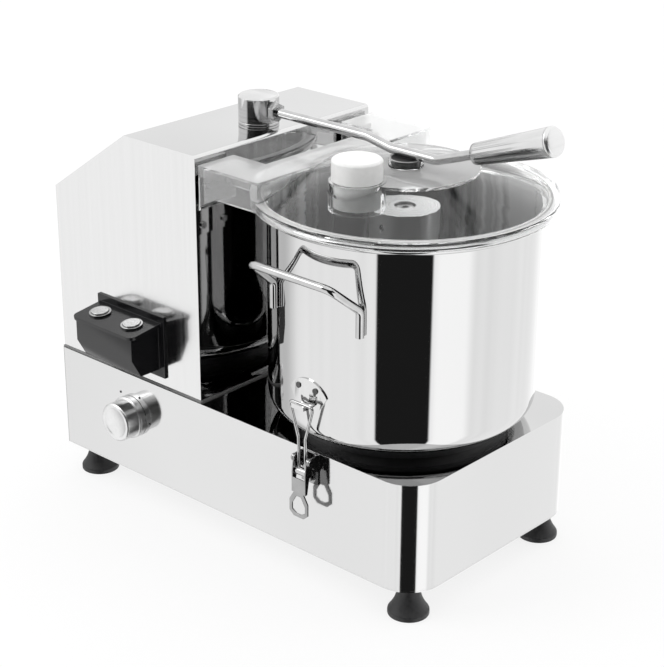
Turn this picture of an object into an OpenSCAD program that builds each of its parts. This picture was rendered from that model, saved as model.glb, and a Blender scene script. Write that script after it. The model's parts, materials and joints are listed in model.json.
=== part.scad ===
// Bowl cutter: a food chopper with a fixed bowl, a clear lid, a swinging lid lever and S-shaped blades.
// The front, with the switches, the knob and a latch, faces -Y. The tower stands at -X, the bowl at +X.

/* [Base] */
// Length of the base pan
base_l = 500; // [480:1:560]
// Width of the base pan, front to back
base_w = 258; // [256:1:300]
// Height of the base pan's walls
base_h = 114; // [100:1:150]
// Plan radius of the corners at the bowl end
base_corner_r = 38; // [20:1:60]
// Height of the rubber feet
foot_h = 33; // [20:1:50]
// Bottom radius of the rubber feet
foot_r = 20.5; // [16:0.5:24]
// Distance of each foot's axis from the base's sides
foot_inset = 25; // [25:1:40]

/* [Tower] */
// Length of the motor tower along the base
tower_l = 213.5; // [205:0.5:214]
// Width of the motor tower
tower_w = 252; // [252:1:256]
// Height of the tower above the base
tower_h = 260; // [250:1:300]
// Length of the level part of the roof
roof_l = 102; // [90:1:110]
// How far the sloping roof comes down
roof_drop = 76.5; // [50:0.5:90]

/* [Bowl] */
// Outer radius of the bowl's wall
bowl_r = 133; // [130:0.5:134]
// Distance of the bowl's axis from the bowl end of the base
bowl_end = 126.5; // [126:0.5:130]
// Depth of the bowl from rim to floor
bowl_depth = 216; // [205:1:230]
// Outer radius of the rounded lower corner
bowl_corner_r = 20; // [12:1:26]
// Thickness of the bowl's sheet
bowl_wall = 2; // [1.5:0.1:2.5]

/* [Lid] */
// Radius of the lid's skirt
lid_r = 148; // [147:0.5:150]
// Radius of the level top of the lid
lid_top_r = 71; // [66:1:76]
// Height of the lid's level top above its flange
lid_rise = 25; // [22:1:28]
// Thickness of the clear plastic
lid_wall = 4; // [3:0.5:5]
// Radius of the pusher's cap
pusher_r = 24.2; // [24:0.1:26]
// Height of the pusher's cap
pusher_cap_h = 21.2; // [15:0.5:26]

/* [Lever] */
// Radius of the lever's head
head_r = 21; // [18:0.5:22]
// Height of the lever's head
head_h = 26; // [24:1:30]
// Distance of the head's axis from the tower's front edge
head_setback = 37.5; // [34:0.5:44]
// Radius of the lever's rod
rod_r = 4.9; // [4:0.1:5.5]
// Length of the grip
grip_l = 94.5; // [80:0.5:110]
// Slope of the lever's raised end
grip_angle = 19; // [12:1:24]

/* [Controls] */
// Width of the switch box
box_w = 85; // [82:1:94]
// How far the switch box stands out of the tower
box_d = 39.5; // [36:0.5:44]
// Radius of the push buttons
button_r = 9; // [7:0.5:9.5]
// Forward slope of the button panel
box_tilt = 7; // [3:0.5:10]
// Travel of the push buttons
button_travel = 3; // [2:0.5:4]
// Radius of the speed knob
knob_r = 20.8; // [16:0.2:22]

/* [Clearances] */
// Radial play of a turning shaft
shaft_fit = 0.05; // [0.02:0.01:0.08]
// Gap between pieces that slide or swing past each other
run_gap = 0.3; // [0.3:0.05:0.5]

/* [Hidden] */
$fn = 48;
over = 1;
sheet = 1.5;
press_spare = 2;
rod_sides = 24;
bend_steps = 6;

base_top = foot_h + base_h;
deck_z = base_top - sheet;
base_edge_r = 4;
pan_flange = 14;
pan_gusset = 42;
cover_slots = 9;
slot_l = 60;
slot_w = 4;
slot_pitch = 12;

foot_top_r = 11;
foot_lip = 5;
foot_steps = 8;
foot_screw_r = 4;
foot_screw_head_r = 7;
foot_screw_head_h = 5;
foot_recess = 4;
foot_nut_r = 7;
foot_nut_h = 6;
foot_x = base_l / 2 - foot_inset;
foot_y = base_w / 2 - foot_inset;

tower_inset = 1.5;
tower_x0 = tower_inset - base_l / 2;
tower_x1 = tower_x0 + tower_l;
tower_top = base_top + tower_h;
tower_fold_r = 4;
tower_flange = 15;
roof_x = tower_x1 - roof_l;
roof_slope = atan(roof_drop / (roof_x - tower_x0));
seal_w = 1.2;
seal_back = tower_inset / 3;
seal_h = 1.6;
tower_screw_r = 2.5;
tower_screw_head_r = 4.5;
tower_screw_head_h = 3;
tower_screw_xs = [tower_x0 + sheet + tower_flange / 2, tower_x1 - sheet - tower_flange / 2];
tower_screw_shares = [-0.8, 0, 0.8];

bowl_x = base_l / 2 - bowl_end;
seat_h = 10;
seat_r = bowl_r - bowl_corner_r - 2 * bowl_wall;
seat_w = 12;
bowl_z0 = base_top + seat_h;
bowl_z1 = bowl_z0 + bowl_depth;
bead_r = 4.5;
bead_out = 1;
bead_c = bowl_r + bead_out + bead_r;
neck_r = 21;
neck_h = 142;
neck_top = base_top + neck_h;
tube_gap = 2;
tube_r0 = neck_r + tube_gap;
tube_r1 = tube_r0 + bowl_wall;
tube_over_neck = 12;
tube_h = neck_h - seat_h + tube_over_neck;

spindle_r = 7.5;
bearing_r = 17.5;
bearing_h = 11;
seal_ring_h = 7;
housing_r = 30;
housing_l = 60;
housing_flange_r = 52;
housing_flange_h = 6;
housing_bolt_r = 3;
housing_bolt_pcr = 42;
housing_bore_r = 12;
housing_z0 = deck_z - housing_l;
bearing_zs = [housing_z0, neck_top - seal_ring_h - bearing_h];

hub_r = 34;
hub_gap = 2.5;
hub_lift = 4;
hub_under_rim = 10;
hub_roof_gap = 5;
hub_bore_r = tube_r1 + hub_gap;
hub_z0 = bowl_z0 + bowl_wall + hub_lift;
hub_z1 = bowl_z1 - hub_under_rim;
hub_roof = bowl_z0 + tube_h + hub_roof_gap;
hub_recess_r = 10.5;
hub_recess_h = 8;
hub_screw_r = 4;
hub_screw_head_r = 9;
hub_screw_head_h = 6;
hub_screw_l = 24;
spindle_top = hub_z1 - hub_recess_h;
set_screw_r = 3;
set_screw_drop = 14;
set_socket_r = 1.5;
set_socket_h = 3;

blade_tip_gap = 6;
blade_reach = bowl_r - bowl_wall - blade_tip_gap;
blade_t = 3;
blade_ring_h = 8;
blade_ring_w = 5;
blade_lift = 2;
blade_pitch = 20;
blade_zs = [hub_z0 + blade_lift, hub_z0 + blade_lift + blade_pitch];
blade_shift = [4, 22.5];

pulley_h = 20;
pulley_rim = 3;
pulley_lip = 6;
pulley_bevel = 1;
belt_gap = 0.3;
belt_t = 5;
belt_side_gap = 1;
belt_h = pulley_h - 2 * (pulley_rim + belt_side_gap);
small_groove_r = 18;
drive_ratio = 2.5;
big_groove_r = drive_ratio * (small_groove_r + belt_gap + belt_t / 2) - belt_gap - belt_t / 2;
drive_lift = 25;
drive_z = foot_h + drive_lift;
shaft_tail = 4;

motor_in = 108;
motor_x = tower_x0 + motor_in;
motor_r = 60;
motor_h = 140;
motor_flange = 132;
motor_flange_h = 9;
motor_plate_l = 150;
motor_plate_w = 190;
motor_plate_t = 6;
motor_bolt_r = 4;
motor_bolt_at = 55;
motor_shaft_r = 8;
motor_hole_r = 40;
motor_rib_count = 24;
motor_rib = 3;
motor_z0 = base_top + motor_plate_t;
motor_z1 = motor_z0 + motor_flange_h + motor_h;
cowl_h = 34;
cowl_wall = 1.5;
fan_h = 18;
fan_r = 48;
fan_hub_r = 16;
fan_blades = 8;
fan_lift = 6;

head_x = tower_x1 - head_setback;
head_edge = 1.5;
bush_flange_h = 3;
bush_flange_r = head_r;
bush_r = 12;
bush_l = 26;
bush_z0 = tower_top - bush_l;
post_r = 8;
post_in_head = 16;
head_z0 = tower_top + bush_flange_h + run_gap;
rod_lift = 12;
rod_z = head_z0 + rod_lift;
cam_r = 15;
cam_h = 7;
cam_flat = 11;
cam_z = bush_z0 - run_gap - cam_h;
sensor_r = 5;
sensor_l = 34;
sensor_gap = 2;
sensor_bracket_t = 4;
sensor_bracket_w = 22;
nut_r = 9.8;
nut_l = 7;
rod_in_head = 10;
rod_bend_r = 24;
rod_straight = 148;
rod_drop_run = 31;
rod_low_run = 54;
rod_rise_l = 48;

gasket_h = 1.6;
lid_z0 = bowl_z1 + gasket_h;
lid_flange_h = 4;
lid_skirt = 5;
lid_skirt_w = 3;
lid_edge_w = 9;
lid_slope_r = lid_r - lid_edge_w;
lid_top_z = lid_z0 + lid_flange_h + lid_rise;
lid_pad_h = 7.6;
boss_r = 17;
boss_lip = 2.5;
pusher_step = 2.2;
pusher_stem_r = pusher_r - pusher_step;
pusher_stem_l = 26;
pusher_edge = 2;
chute_play = 0.6;
chute_wall = 4.4;
chute_shift = 2.5;
chute_x = bowl_x - chute_shift;
chute_y = -67;
chute_r0 = pusher_stem_r + chute_play;
chute_r1 = chute_r0 + chute_wall;
chute_drop = 28;
chute_lip = 0.5;

rod_low_z = lid_top_z + lid_pad_h + run_gap + rod_r;
grip_r0 = 10.4;
grip_r1 = 14.2;
grip_cap_l = 5;
grip_edge = 1.6;
grip_rod_depth = 60;
rod_p0 = [head_x + head_r - rod_in_head, 0, rod_z];
rod_p1 = [head_x + rod_straight, 0, rod_z];
rod_p2 = [rod_p1.x + rod_drop_run, 0, rod_low_z];
rod_p3 = [rod_p2.x + rod_low_run, 0, rod_low_z];
grip_dir = [cos(grip_angle), 0, sin(grip_angle)];
grip_p0 = rod_p3 + rod_rise_l * grip_dir;
grip_p1 = grip_p0 + grip_l * grip_dir;

hinge_gap = 5;
ear_drop = 4.5;
ear_l = 80;
ear_notch_l = 44;
ear_under_rim = 4;
ear_heel = 22;
ear_heel_drop = 11;
ear_top = lid_top_z - ear_drop;
ear_w = tower_w / 2;
ear_inner = 78.5;
ear_x0 = tower_x1 + hinge_gap;
ear_x1 = ear_x0 + ear_l;
notch_x = ear_x0 + ear_notch_l;
ear_low = bowl_z1 - ear_under_rim;
ear_heel_z = ear_low - ear_heel_drop;

leaf_t = 1.5;
leaf_y0 = 80;
leaf_l = 44;
knuckles = 3;
knuckle_r = 2.4;
knuckle_drop = 3;
knuckle_z = ear_heel_z - knuckle_drop;
hinge_x = (tower_x1 + ear_x0) / 2;
leaf_pin_r = 1.2;
leaf_screw_r = 2;
leaf_screw_head_r = 3.6;
leaf_screw_head_h = 1.6;
leaf_screw_in = 10;
leaf_screw_ys = [leaf_y0 + leaf_screw_in, leaf_y0 + leaf_l - 0.6 * leaf_screw_in];
leaf_reach = 28;
leaf_screw_reach = 19;
leaf_screw_up = 23;
lid_leaf_top = knuckle_z + leaf_reach + knuckle_drop;
lid_leaf_screw_z = knuckle_z + leaf_screw_up;
tower_leaf_low = knuckle_z - leaf_reach;
tower_leaf_screw_z = knuckle_z - leaf_screw_reach;

handle_rod_r = 4;
handle_leg_x = 54.5;
handle_grip_x = 49.5;
handle_out = 35.5;
handle_rise = 29;
handle_leg = 26;
handle_bend_r = 9;
handle_leg_r = bowl_r + handle_rod_r;
handle_leg_y = sqrt(handle_leg_r * handle_leg_r - handle_leg_x * handle_leg_x);
handle_grip_drop = 37.5;
handle_top = bowl_z1 - handle_grip_drop - handle_rise;

latch_shift = 3.5;
latch_x = bowl_x - latch_shift;
latch_base_t = 1.5;
latch_ear_x = 9.3;
latch_eye_r = 4;
latch_out = 12;
latch_pivot_drop = 5.6;
latch_pivot_z = base_top - latch_pivot_drop;
latch_throw = 13;
latch_lag = 0.5;
latch_pin_r = 2;
latch_head_r = 3.4;
latch_head_h = 1.2;
latch_y = -base_w / 2 - latch_out;
barrel_z = latch_pivot_z - latch_throw;
barrel_y = latch_y + latch_lag;
barrel_r = 4;
barrel_l = 14;
cheek_t = 1.4;
cheek_x = latch_ear_x - run_gap;
lever_web_t = 1.6;
lever_neck_drop = 34;
lever_tip_drop = 60;
lever_loop_w = 24;
lever_neck_w = 13;
loop_band = 3.6;
loop_shoulder_share = 0.35;
loop_foot_share = 0.4;
bail_r = 1.6;
bail_neck_x = 4.4;
bail_neck_rise = 36;
bail_top_x = 15;
bail_bend_r = 3;
lip_x = bail_top_x - 4.5 * bail_r;
bail_rise = 43.5;
bail_lean = 1;
bail_z = bowl_z0 + bail_rise;
bail_y = latch_y - bail_lean;
catch_t = 1.5;
catch_h = 27;
catch_w = 24.5;
catch_foot_w = 16;
catch_lip_t = 1.6;
catch_lip_h = 3;
catch_play = 2.6;
catch_rivet_x = 11;
catch_rivet_up = 17.7;
catch_rivet_r = 3;
catch_z0 = bail_z - bail_r - run_gap - catch_lip_t;
catch_rivet_z = catch_z0 + catch_rivet_up;
lip_out = bail_r + catch_play + catch_lip_t;

box_in = 70.3;
box_rise = 72.5;
box_h = 52.5;
box_x0 = tower_x0 + box_in;
box_top = base_top + box_rise;
box_low = box_top - box_h;
box_ridge = 7;
box_tail = 8.5;
box_rim = 4;
box_rim_h = 3.6;
box_corner = 8;
box_wall = 2.5;
box_front_h = 32;
box_foot_d = 28;
box_back_w = box_w + 4 * box_rim;
bezel_band = 2.6;
bezel_tube_band = 1.8;
bezel_r = button_r + bezel_band;
bezel_tube_r = button_r + bezel_tube_band;
bezel_h = 2.2;
button_h = 12;
button_rest = 0.6;
button_proud = button_travel + button_rest;
button_dx = 24.3;
button_out = (box_d + box_rim) / 2;
contact_w = 20;
contact_h = 22;
contact_top = button_proud - button_h - button_travel - run_gap;

knob_in = 109.5;
knob_drop = 47.3;
knob_x = tower_x0 + knob_in;
knob_z = base_top - knob_drop;
knob_skirt_w = 2;
knob_skirt_r = knob_r + knob_skirt_w;
knob_skirt_h = 8;
knob_h = 24;
knob_edge = 1.5;
knob_groove = 0.8;
knob_shaft_r = 3;
knob_recess_r = 9;
knob_recess_h = 4;
mark_h = 0.4;
mark_count = 5;
mark_r = 1.3;
mark_ring_r = 28;
mark_from_angle = -2;
mark_sweep_angle = 256;
pot_r = 12;
pot_l = 16;
pot_bush_r = 5;
pot_nut_r = 8;
pot_nut_h = 2.5;

board_l = 110;
board_w = 70;
board_t = 1.6;
board_in = 52;
board_rise = 40;
board_x = tower_x0 + board_in;
board_z = base_top + board_rise;
standoff_r = 3;
standoff_l = 10;
chip_h = 14;
cap_r = 12;
gland_in = 45;
gland_rise = 40;
gland_x = tower_x0 + gland_in;
gland_z = foot_h + gland_rise;
gland_r = 8;
gland_bore_r = 4;
gland_hex_r = 11;
gland_hex_l = 7;
gland_dome_l = 16;
gland_nut_l = 5;

front_y = -tower_w / 2 - box_d - box_rim;
rear_y = handle_leg_y + handle_out + handle_rod_r;
grip_end_x = grip_p1.x - grip_edge / 2 * cos(grip_angle) + (grip_r1 - grip_edge) * sin(grip_angle);
mid_x = (grip_end_x - base_l / 2) / 2;
mid_y = (front_y + rear_y) / 2;

// Moves the whole object so that its origin is under the middle of its outline, on the floor
module place() translate([-mid_x, -mid_y, 0]) children();

// Puts one copy at the front and its mirror image at the back
module both_sides() {
    children();
    mirror([0, 1, 0]) children();
}

// Four copies at the corners of a rectangle
module corners(x, y) {
    for (sx = [-1, 1], sy = [-1, 1]) translate([sx * x, sy * y, 0]) children();
}

function unit(v) = v / norm(v);

// Points along a path whose corners are bent to one radius
function bend_points(p, bend) = [
    for (i = [0 : len(p) - 1]) each i == 0 || i == len(p) - 1 ? [p[i]] : let (
        a = unit(p[i] - p[i - 1]),
        b = unit(p[i + 1] - p[i]),
        turn = acos(a * b),
        start = p[i] - a * bend * tan(turn / 2),
        n = unit(b - (a * b) * a)
    ) [for (k = [0 : bend_steps]) start + bend * (n * (1 - cos(turn * k / bend_steps)) + a * sin(turn * k / bend_steps))]
];

// Corners of a round section at one point of a path; the path never runs along the side vector
function section_points(c, along, side, r) =
    let (x = unit(cross(side, along)), y = cross(along, x))
    [for (k = [0 : rod_sides - 1]) c + r * (x * cos(360 * k / rod_sides) + y * sin(360 * k / rod_sides))];

// A round rod along corner points, with every corner bent to one radius
module bent_rod(p, r, bend, side) {
    q = bend_points(p, bend);
    last = len(q) - 1;
    n = rod_sides;
    steps = [for (i = [0 : last - 1]) unit(q[i + 1] - q[i])];
    along = [for (i = [0 : last]) unit(steps[max(i - 1, 0)] + steps[min(i, last - 1)])];
    polyhedron(
        points = [for (i = [0 : last]) each section_points(q[i], along[i], side, r)],
        faces = concat(
            [[for (k = [0 : n - 1]) k], [for (k = [n - 1 : -1 : 0]) last * n + k]],
            [for (i = [0 : last - 1], k = [0 : n - 1]) let (m = (k + 1) % n)
                each [[i * n + k, i * n + n + m, i * n + m], [i * n + k, i * n + n + k, i * n + n + m]]]
        )
    );
}

// A screw: head at z = 0 and above, shank below
module screw(r, l, head_r, head_h) {
    cylinder(r = head_r, h = head_h);
    translate([0, 0, -l]) cylinder(r = r, h = l);
}

// Plan of the base: nearly square corners at the tower end, round ones at the bowl end
module base_outline(inset) {
    l = base_l / 2 - inset;
    w = base_w / 2 - inset;
    r = base_corner_r - inset;
    s = max(base_edge_r - inset, run_gap);
    translate([-l, s - w]) square([2 * l - r, 2 * (w - s)]);
    translate([s - l, -w]) square([2 * l - r - s, 2 * w]);
    translate([-l, r - w]) square([2 * l, 2 * (w - r)]);
    for (side = [-1, 1]) {
        translate([l - r, side * (w - r)]) circle(r);
        translate([s - l, side * (w - s)]) circle(s);
    }
}

module foot_axes() corners(foot_x, foot_y) children();

module motor_bolt_axes() translate([motor_x, 0, 0]) corners(motor_bolt_at, motor_bolt_at) children();

module housing_bolt_axes() {
    for (a = [45 : 90 : 315]) translate([bowl_x, 0, 0]) rotate(a) translate([housing_bolt_pcr, 0, 0]) children();
}

module tower_screw_axes() {
    for (x = tower_screw_xs, s = tower_screw_shares) translate([x, s * tower_w / 2, 0]) children();
}

// Points along the front and back at a height and depth, for bores across the sheet walls
module front_bore(x, z, r) translate([x, -base_w / 2 - over, z]) rotate([-90, 0, 0]) cylinder(r = r, h = sheet + 2 * over);

module base_pan() color("silver") difference() {
    translate([0, 0, foot_h + sheet]) linear_extrude(base_h - sheet) base_outline(0);
    translate([0, 0, foot_h + sheet]) linear_extrude(sheet) difference() {
        base_outline(pan_flange);
        foot_axes() square(pan_gusset, center = true);
    }
    translate([0, 0, foot_h + 2 * sheet]) linear_extrude(base_h - 3 * sheet) base_outline(sheet);
    foot_axes() translate([0, 0, foot_h]) cylinder(r = foot_screw_r, h = 3 * sheet);
    motor_bolt_axes() translate([0, 0, deck_z - over]) cylinder(r = motor_bolt_r, h = sheet + 2 * over);
    housing_bolt_axes() translate([0, 0, deck_z - over]) cylinder(r = housing_bolt_r, h = sheet + 2 * over);
    tower_screw_axes() translate([0, 0, deck_z - over]) cylinder(r = tower_screw_r, h = sheet + 2 * over);
    translate([motor_x, 0, deck_z - over]) cylinder(r = motor_hole_r, h = sheet + 2 * over);
    translate([bowl_x, 0, deck_z - over]) cylinder(r = neck_r, h = sheet + 2 * over);
    front_bore(knob_x, knob_z, pot_bush_r);
    mirror([0, 1, 0]) front_bore(gland_x, gland_z, gland_r);
}

module bottom_cover() color("gainsboro") difference() {
    translate([0, 0, foot_h]) linear_extrude(sheet) base_outline(0);
    foot_axes() translate([0, 0, foot_h - over]) cylinder(r = foot_screw_r, h = sheet + 2 * over);
    for (side = [-1, 1], i = [0 : cover_slots - 1])
        translate([side * foot_x / 2, (i - (cover_slots - 1) / 2) * slot_pitch, foot_h + sheet / 2])
            cube([slot_l, slot_w, sheet + 2 * over], center = true);
}

// Radius of the foot's bell at a share of its height
function bell_r(t) = foot_top_r + (foot_r - foot_top_r) * pow(1 - t, 2.4);

module rubber_feet() color("black") foot_axes() rotate_extrude() difference() {
    polygon(concat(
        [[0, 0], [foot_r, 0]],
        [for (i = [0 : foot_steps]) [bell_r(i / foot_steps), foot_lip + (foot_h - foot_lip) * i / foot_steps]],
        [[0, foot_h]]
    ));
    square([foot_screw_head_r, foot_recess + foot_screw_head_h]);
    square([foot_screw_r, foot_h + over]);
}

module foot_screws() color("dimgray") foot_axes() {
    translate([0, 0, foot_recess + foot_screw_head_h]) mirror([0, 0, 1])
        screw(foot_screw_r, foot_h + 2 * sheet + foot_nut_h + press_spare - foot_recess - foot_screw_head_h,
            foot_screw_head_r, foot_screw_head_h);
    translate([0, 0, foot_h + 2 * sheet]) cylinder(r = foot_nut_r, h = foot_nut_h, $fn = 6);
}

// Side view of the tower, moved inwards by a distance
function tower_profile(t, low) = let (
    top = tower_top - t,
    x0 = tower_x0 + t,
    z0 = tower_top + ((x0 - roof_x) * sin(roof_slope) - t) / cos(roof_slope)
) [[x0, low], [tower_x1 - t, low], [tower_x1 - t, top], [roof_x + t * tan(roof_slope / 2), top], [x0, z0]];

module tower_side(t, low) difference() {
    polygon(tower_profile(t, low));
    translate([tower_x1 - t, tower_top - t]) difference() {
        square(2 * (tower_fold_r - t), center = true);
        translate([t - tower_fold_r, t - tower_fold_r]) circle(tower_fold_r - t);
    }
}

module across(w) rotate([90, 0, 0]) translate([0, 0, -w / 2]) linear_extrude(w) children();

module tower_shell() color("lightgray") difference() {
    across(tower_w) tower_side(0, base_top);
    difference() {
        across(tower_w - 2 * sheet) tower_side(sheet, base_top - over);
        translate([tower_x0, -tower_w / 2, base_top]) difference() {
            cube([tower_l, tower_w, sheet]);
            translate([tower_flange, tower_flange, -over])
                cube([tower_l - 2 * tower_flange, tower_w - 2 * tower_flange, sheet + 2 * over]);
        }
    }
    tower_screw_axes() translate([0, 0, base_top - over]) cylinder(r = tower_screw_r, h = sheet + 2 * over);
    translate([head_x, 0, tower_top - sheet - over]) cylinder(r = bush_r, h = sheet + 2 * over);
    translate([box_x0 + box_w / 2, -tower_w / 2 - over, box_low + box_front_h]) rotate([-90, 0, 0])
        cylinder(r = bush_r, h = sheet + 2 * over);
    both_sides() for (y = leaf_screw_ys) translate([tower_x1 - sheet - over, -y, tower_leaf_screw_z]) rotate([0, 90, 0])
        cylinder(r = leaf_screw_r, h = sheet + 2 * over);
}

module tower_seal() color("dimgray") translate([0, 0, base_top]) linear_extrude(seal_h) difference() {
    translate([tower_x0 - seal_back, -tower_w / 2 - seal_w])
        square([tower_l + seal_back + seal_w, tower_w + 2 * seal_w]);
    translate([tower_x0, -tower_w / 2]) square([tower_l, tower_w]);
}

module tower_screws() color("silver") tower_screw_axes() translate([0, 0, base_top + sheet])
    screw(tower_screw_r, 2 * sheet + press_spare, tower_screw_head_r, tower_screw_head_h);

module motor_plate() color("gray") difference() {
    translate([motor_x, 0, base_top + motor_plate_t / 2])
        cube([motor_plate_l, motor_plate_w, motor_plate_t], center = true);
    translate([motor_x, 0, base_top - over]) cylinder(r = motor_hole_r, h = motor_plate_t + 2 * over);
    motor_bolt_axes() translate([0, 0, base_top - over]) cylinder(r = motor_bolt_r, h = motor_plate_t + 2 * over);
}

module motor_body() color("slategray") difference() {
    union() {
        translate([motor_x, 0, motor_z0 + motor_flange_h / 2])
            cube([motor_flange, motor_flange, motor_flange_h], center = true);
        translate([motor_x, 0, motor_z0]) cylinder(r = motor_r, h = motor_z1 - motor_z0);
        for (i = [0 : motor_rib_count - 1])
            translate([motor_x, 0, motor_z0 + motor_flange_h]) rotate(i * 360 / motor_rib_count)
                translate([0.9 * motor_r, -motor_rib / 2, 0]) cube([0.1 * motor_r + motor_rib, motor_rib, motor_h - motor_rib]);
    }
    translate([motor_x, 0, motor_z0 - over]) cylinder(r = motor_shaft_r + shaft_fit, h = motor_z1 - motor_z0 + 2 * over);
    motor_bolt_axes() translate([0, 0, motor_z0 - over]) cylinder(r = motor_bolt_r, h = motor_flange_h + 2 * over);
}

module motor_bolts() color("silver") motor_bolt_axes() {
    translate([0, 0, motor_z0 + motor_flange_h])
        screw(motor_bolt_r, motor_z0 + motor_flange_h - deck_z + 2 * motor_bolt_r, 1.7 * motor_bolt_r, motor_bolt_r);
    translate([0, 0, deck_z - 1.5 * motor_bolt_r]) cylinder(r = 1.8 * motor_bolt_r, h = 1.5 * motor_bolt_r, $fn = 6);
}

module motor_shaft() color("silver") translate([motor_x, 0, drive_z - shaft_tail])
    cylinder(r = motor_shaft_r, h = motor_z1 + fan_lift + fan_h - drive_z + shaft_tail);

module motor_fan() color("dimgray") translate([motor_x, 0, motor_z1 + fan_lift]) difference() {
    union() {
        cylinder(r = fan_hub_r, h = fan_h);
        for (i = [0 : fan_blades - 1]) rotate(i * 360 / fan_blades)
            translate([0.75 * fan_hub_r, -motor_rib / 2, 0]) cube([fan_r - 0.75 * fan_hub_r, motor_rib, fan_h]);
    }
    translate([0, 0, -over]) cylinder(r = motor_shaft_r + shaft_fit, h = fan_h + 2 * over);
}

module fan_cowl() color("gray") translate([motor_x, 0, motor_z1]) difference() {
    cylinder(r = motor_r, h = cowl_h);
    translate([0, 0, -over]) cylinder(r = motor_r - cowl_wall, h = cowl_h - cowl_wall + over);
    for (i = [0 : fan_blades - 1]) rotate(i * 360 / fan_blades)
        translate([fan_hub_r, -slot_w / 2, cowl_h - 2 * cowl_wall]) cube([fan_r - fan_hub_r, slot_w, 3 * cowl_wall]);
}

// A belt pulley with its lower face at z = 0
module pulley(groove_r, bore_r) difference() {
    rotate_extrude() polygon([
        [0, 0], [groove_r + pulley_lip, 0], [groove_r + pulley_lip, pulley_rim - pulley_bevel], [groove_r, pulley_rim],
        [groove_r, pulley_h - pulley_rim], [groove_r + pulley_lip, pulley_h - pulley_rim + pulley_bevel],
        [groove_r + pulley_lip, pulley_h], [0, pulley_h]
    ]);
    translate([0, 0, -over]) cylinder(r = bore_r, h = pulley_h + 2 * over);
}

module drive_pulley() color("gray") translate([motor_x, 0, drive_z]) pulley(small_groove_r, motor_shaft_r + shaft_fit);

module driven_pulley() color("gray") translate([bowl_x, 0, drive_z]) pulley(big_groove_r, spindle_r + shaft_fit);

// Outline of a belt round two pulleys
module belt_outline(grow) hull() {
    translate([motor_x, 0]) circle(small_groove_r + belt_gap + grow);
    translate([bowl_x, 0]) circle(big_groove_r + belt_gap + grow, $fn = 96);
}

module drive_belt() color("black") translate([0, 0, drive_z + (pulley_h - belt_h) / 2]) linear_extrude(belt_h)
    difference() {
        belt_outline(belt_t);
        belt_outline(0);
    }

module spindle() color("silver") translate([bowl_x, 0, 0]) difference() {
    translate([0, 0, drive_z - shaft_tail]) cylinder(r = spindle_r, h = spindle_top - drive_z + shaft_tail);
    translate([0, 0, spindle_top - hub_screw_l - over]) cylinder(r = hub_screw_r + shaft_fit, h = hub_screw_l + 2 * over);
}

module spindle_bearings() color("darkgray") for (z = bearing_zs) translate([bowl_x, 0, z]) difference() {
    cylinder(r = bearing_r - shaft_fit, h = bearing_h);
    translate([0, 0, -over]) cylinder(r = spindle_r + shaft_fit, h = bearing_h + 2 * over);
}

module bearing_housing() color("darkgray") translate([bowl_x, 0, 0]) difference() {
    union() {
        translate([0, 0, housing_z0]) cylinder(r = housing_r, h = housing_l);
        translate([0, 0, deck_z - housing_flange_h]) cylinder(r = housing_flange_r, h = housing_flange_h);
        translate([0, 0, housing_z0]) cylinder(r = neck_r, h = neck_top - housing_z0);
    }
    translate([0, 0, housing_z0 - over]) cylinder(r = housing_bore_r, h = neck_top - housing_z0 + 2 * over);
    translate([0, 0, housing_z0 - over]) cylinder(r = bearing_r, h = bearing_h + over);
    translate([0, 0, bearing_zs[1]]) cylinder(r = bearing_r, h = bearing_h + seal_ring_h + over);
    translate([-bowl_x, 0, deck_z - housing_flange_h - over]) housing_bolt_axes()
        cylinder(r = housing_bolt_r, h = housing_flange_h + 2 * over);
}

module housing_bolts() color("silver") housing_bolt_axes() translate([0, 0, base_top])
    screw(housing_bolt_r, sheet + housing_flange_h + press_spare, 1.7 * housing_bolt_r, housing_bolt_r);

module shaft_seal() color("black") translate([bowl_x, 0, neck_top - seal_ring_h]) difference() {
    cylinder(r = bearing_r - shaft_fit, h = seal_ring_h);
    translate([0, 0, -over]) cylinder(r = spindle_r + shaft_fit, h = seal_ring_h + 2 * over);
}

module bowl_seat() color("black") translate([bowl_x, 0, base_top]) difference() {
    cylinder(r = seat_r, h = seat_h);
    translate([0, 0, -over]) cylinder(r = seat_r - seat_w, h = seat_h + 2 * over);
}

// Half section of the bowl, radius by height
module bowl_section() {
    flat_r = bowl_r - bowl_corner_r;
    translate([bowl_r - bowl_wall, bowl_z0 + bowl_corner_r]) square([bowl_wall, bowl_z1 - bead_r - bowl_z0 - bowl_corner_r]);
    intersection() {
        translate([flat_r, bowl_z0 + bowl_corner_r]) difference() {
            circle(bowl_corner_r);
            circle(bowl_corner_r - bowl_wall);
        }
        translate([flat_r, bowl_z0]) square(bowl_corner_r);
    }
    translate([tube_r0, bowl_z0]) square([flat_r - tube_r0, bowl_wall]);
    translate([tube_r0, bowl_z0]) square([bowl_wall, tube_h]);
    translate([bead_c, bowl_z1 - bead_r]) circle(bead_r);
    translate([bowl_r - bowl_wall, bowl_z1 - bead_r - bowl_wall / 2]) square([bead_c - bowl_r + bowl_wall, bowl_wall]);
}

module bowl() color("silver") translate([bowl_x, 0, 0]) rotate_extrude() bowl_section();

module bowl_handle() {
    leg_y = -handle_leg_y;
    low = handle_top - handle_leg;
    grip_z = handle_top + handle_rise;
    bent_rod([
        [-handle_leg_x, leg_y, low], [-handle_leg_x, leg_y, handle_top],
        [-handle_grip_x, leg_y - handle_out, grip_z], [handle_grip_x, leg_y - handle_out, grip_z],
        [handle_leg_x, leg_y, handle_top], [handle_leg_x, leg_y, low]
    ], handle_rod_r, handle_bend_r, [1, 1, 1]);
}

module bowl_handles() color("silver") translate([bowl_x, 0, 0]) both_sides() bowl_handle();

// A slab seen from the front, standing at a depth and reaching outwards
module front_slab(y, t) translate([0, y, 0]) rotate([90, 0, 0]) linear_extrude(t) children();

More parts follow.
